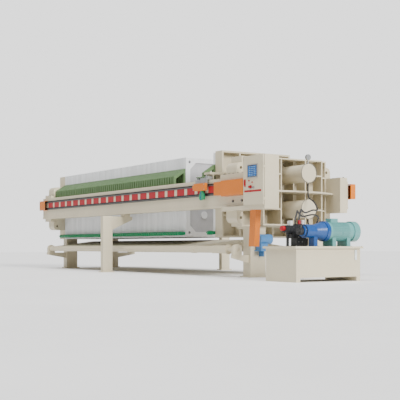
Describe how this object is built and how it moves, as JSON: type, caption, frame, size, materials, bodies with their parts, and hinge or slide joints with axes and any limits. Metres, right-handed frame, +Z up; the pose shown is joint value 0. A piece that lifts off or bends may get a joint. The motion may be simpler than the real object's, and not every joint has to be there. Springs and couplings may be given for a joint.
{
  "type": "plate filter press",
  "caption": "Automatic plate filter press: long recessed-plate stack between side beams, hydraulic closing head, chain plate shifter, drip flaps, control cabinet and pump unit.",
  "frame": {"origin": "on the floor, under the middle of the whole machine's footprint", "axes": "+X along the press towards the hydraulic cylinders and pump unit, +Y across to the side without the control cabinet, +Z up"},
  "size_m": [10.067, 3.19, 2.22],
  "materials": {
    "cream_paint": "semi-gloss",
    "orange_paint": "semi-gloss",
    "white_plastic": "matte",
    "green_handles": "satin",
    "green_taps": "satin",
    "dark_steel": "satin",
    "steel": "brushed",
    "chromed_rod": "polished",
    "red_plastic": "gloss",
    "black_iron": "satin",
    "blue_paint": "gloss",
    "teal_paint": "gloss",
    "screen": "gloss",
    "white_coils": "matte",
    "hose_rubber": "satin",
    "clear_glass": "clear"
  },
  "bodies": {
    "base": {"beam_clamps": "cream_paint", "beam_far": "cream_paint", "beam_near": "cream_paint", "bell_housing": "blue_paint", "cabinet_internals": "dark_steel", "cabinet_shelf": "cream_paint", "cabinet_shell": "cream_paint", "cable_duct": "orange_paint", "chain_rails": "dark_steel", "cylinder_lower": "cream_paint", "cylinder_seat": "cream_paint", "cylinder_upper": "cream_paint", "discharge_taps": "green_taps", "drive_chains": "steel", "drive_covers": "orange_paint", "filter_plates": "white_plastic", "flap_bearings": "steel", "flap_drive": "teal_paint", "front_plate": "white_plastic", "guard_blocks": "red_plastic", "handle_roofs": "green_handles", "handle_roots": "green_handles", "handle_walls": "green_handles", "hose_lower": "hose_rubber", "hose_upper": "hose_rubber", "idler_covers": "orange_paint", "level_gauge": "clear_glass", "mid_supports": "cream_paint", "pressure_gauge": "steel", "pump_motor": "teal_paint", "seat_legs": "cream_paint", "tank": "cream_paint", "tank_lid": "cream_paint", "thrust_legs": "cream_paint", "thrust_plate": "cream_paint", "tie_plate": "cream_paint", "valve_block": "black_iron", "valve_coils": "white_coils", "valve_knobs": "red_plastic"},
    "moving_head": {"moving_head": "cream_paint", "head_rollers": "steel", "head_plate": "white_plastic", "head_handles": "green_handles", "head_tap": "green_taps", "piston_rods": "chromed_rod"},
    "shifter_near": {"shifter_frame_near": "steel", "shifter_cover_near": "orange_paint", "shifter_grip": "green_taps"},
    "shifter_far": {"shifter_frame_far": "steel", "shifter_cover_far": "orange_paint"},
    "cabinet_door": {"cabinet_door": "cream_paint", "hmi_panel": "screen", "door_controls": "red_plastic"},
    "flap_near": {"flap_near": "cream_paint"},
    "flap_far": {"flap_far": "cream_paint"}
  },
  "joints": [
    {"name": "head_slide", "type": "slide", "parent": "base", "child": "moving_head", "axis": [-1, 0, 0], "range_m": [0, 0.895]},
    {"name": "shifter_near_slide", "type": "slide", "parent": "base", "child": "shifter_near", "axis": [-1, 0, 0], "range_m": [0, 6.45]},
    {"name": "shifter_far_slide", "type": "slide", "parent": "base", "child": "shifter_far", "axis": [-1, 0, 0], "range_m": [0, 6.45]},
    {"name": "cabinet_door_hinge", "type": "hinge", "parent": "base", "child": "cabinet_door", "pos_m": [3.8445, -1.241, 1.5765], "axis": [0, 0, 1], "range_deg": [0, 110]},
    {"name": "flap_near_hinge", "type": "hinge", "parent": "base", "child": "flap_near", "pos_m": [-2, -1.088, 0.47], "axis": [-1, 0, 0], "range_deg": [0, 28]},
    {"name": "flap_far_hinge", "type": "hinge", "parent": "base", "child": "flap_far", "pos_m": [-2, 1.088, 0.47], "axis": [1, 0, 0], "range_deg": [0, 28]}
  ],
  "couplings": [
    {"joint": "shifter_far_slide", "follows": "shifter_near_slide", "ratio": 1},
    {"joint": "flap_far_hinge", "follows": "flap_near_hinge", "ratio": 1}
  ]
}
